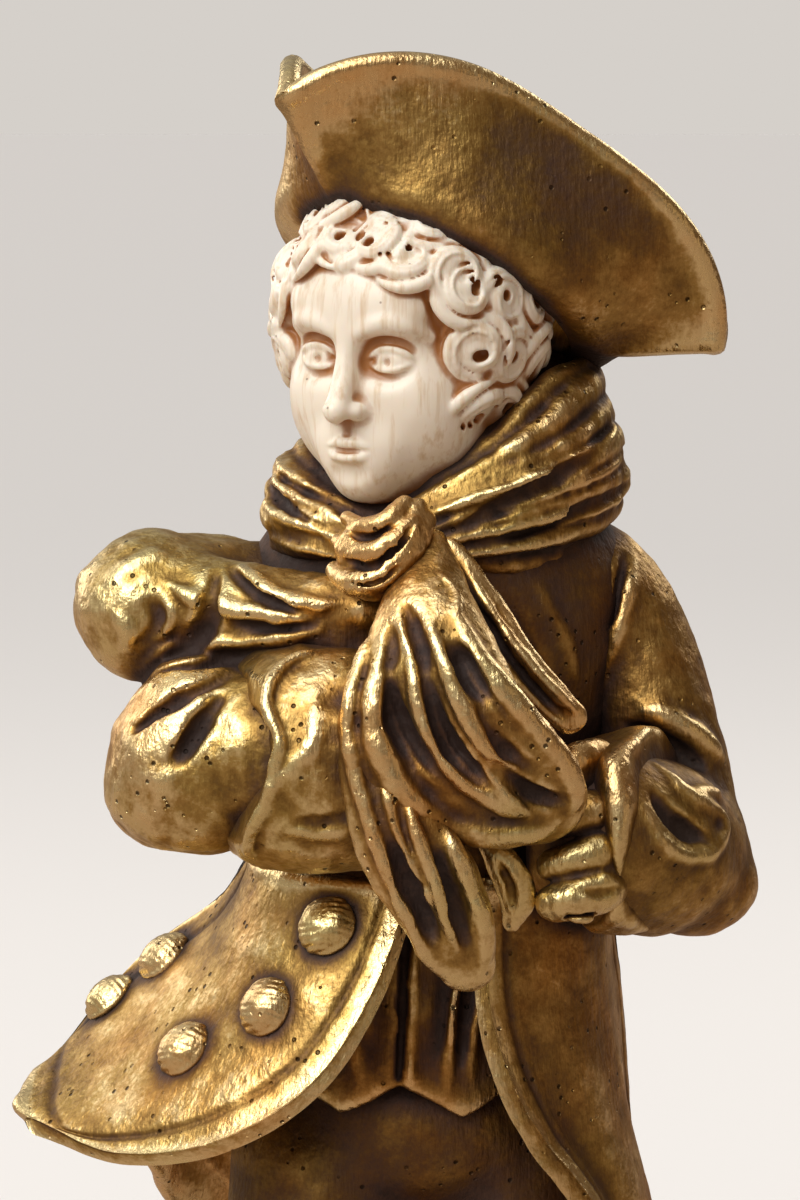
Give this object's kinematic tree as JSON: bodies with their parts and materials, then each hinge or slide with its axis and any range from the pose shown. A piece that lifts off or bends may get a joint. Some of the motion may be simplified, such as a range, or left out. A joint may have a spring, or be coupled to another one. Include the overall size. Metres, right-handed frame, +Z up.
{
  "type": "statuette",
  "caption": "Standing figure in a tricorne, muffler and wind-blown coat: gilt bronze sections with a carved pale head, on a round turned marble plinth.",
  "frame": {"origin": "centre of the felt pad's underside, where the plinth stands", "axes": "+Z up through the figure, -Y the way the chest faces, -X the figure's own right side"},
  "size_m": [0.0684, 0.066, 0.1962],
  "materials": {
    "gilt_bronze": "cast and chased bronze, rubbed gilding on the high parts and dark brown patina in the hollows",
    "ivory": "polished ivory-like carving, fine vertical grain, ochre-brown staining in the hollows",
    "brass_pin": "plain drawn brass",
    "marble": "polished dark marble with fine pale veins",
    "felt": "dark green felt",
    "steel": "plain steel"
  },
  "bodies": {
    "root": {"hat": "gilt_bronze", "scarf_wrap": "gilt_bronze", "scarf_knot": "gilt_bronze", "scarf_tail_front": "gilt_bronze", "scarf_tail_lower": "gilt_bronze", "scarf_tail_side": "gilt_bronze", "coat_bodice": "gilt_bronze", "right_sleeve": "gilt_bronze", "left_sleeve": "gilt_bronze", "right_cuff": "gilt_bronze", "left_cuff": "gilt_bronze", "left_hand": "gilt_bronze", "right_hand": "gilt_bronze", "waistcoat": "gilt_bronze", "skirt_right_front": "gilt_bronze", "skirt_right_back": "gilt_bronze", "skirt_left_back": "gilt_bronze", "skirt_left_front": "gilt_bronze", "coat_button_1": "gilt_bronze", "coat_button_2": "gilt_bronze", "coat_button_3": "gilt_bronze", "coat_button_4": "gilt_bronze", "coat_button_5": "gilt_bronze", "breeches": "gilt_bronze", "right_leg": "gilt_bronze", "left_leg": "gilt_bronze", "right_shoe_buckle": "gilt_bronze", "left_shoe_buckle": "gilt_bronze", "ground": "gilt_bronze", "head": "ivory", "neck_dowel": "brass_pin", "hat_pin": "brass_pin", "plinth": "marble", "felt_pad": "felt", "fixing_stud": "steel", "fixing_washer": "steel", "fixing_nut": "steel", "locating_pin": "steel"}
  },
  "joints": []
}
